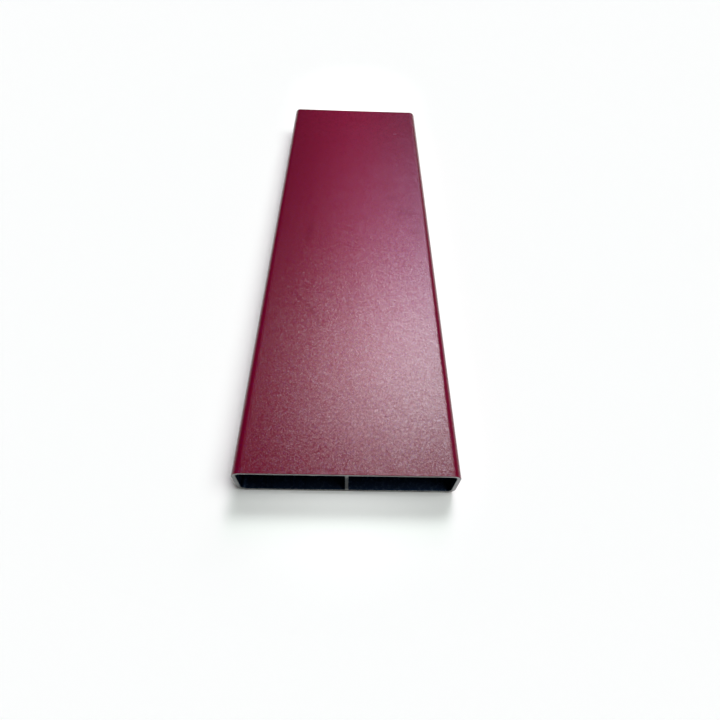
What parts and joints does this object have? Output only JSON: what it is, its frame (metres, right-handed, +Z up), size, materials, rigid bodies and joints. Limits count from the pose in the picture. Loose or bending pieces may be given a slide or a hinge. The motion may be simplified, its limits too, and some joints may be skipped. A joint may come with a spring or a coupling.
{
  "type": "aluminium extrusion profile",
  "caption": "Flat hollow aluminium profile with rounded corners and a middle web, powder coated outside and sawn square at both ends, for slats, infill and light framing.",
  "frame": {"origin": "middle of the underside, half way along the length", "axes": "+X across the width, +Y along the extrusion away from the end that faces the viewer, +Z up through the thickness"},
  "size_m": [0.1, 0.32, 0.02],
  "materials": {
    "coated_aluminium": "fine-texture wine-red powder coat with a soft sheen on the outside; bare aluminium on the sawn ends and in the chambers"
  },
  "bodies": {
    "root": {"profile": "coated_aluminium"}
  },
  "joints": []
}
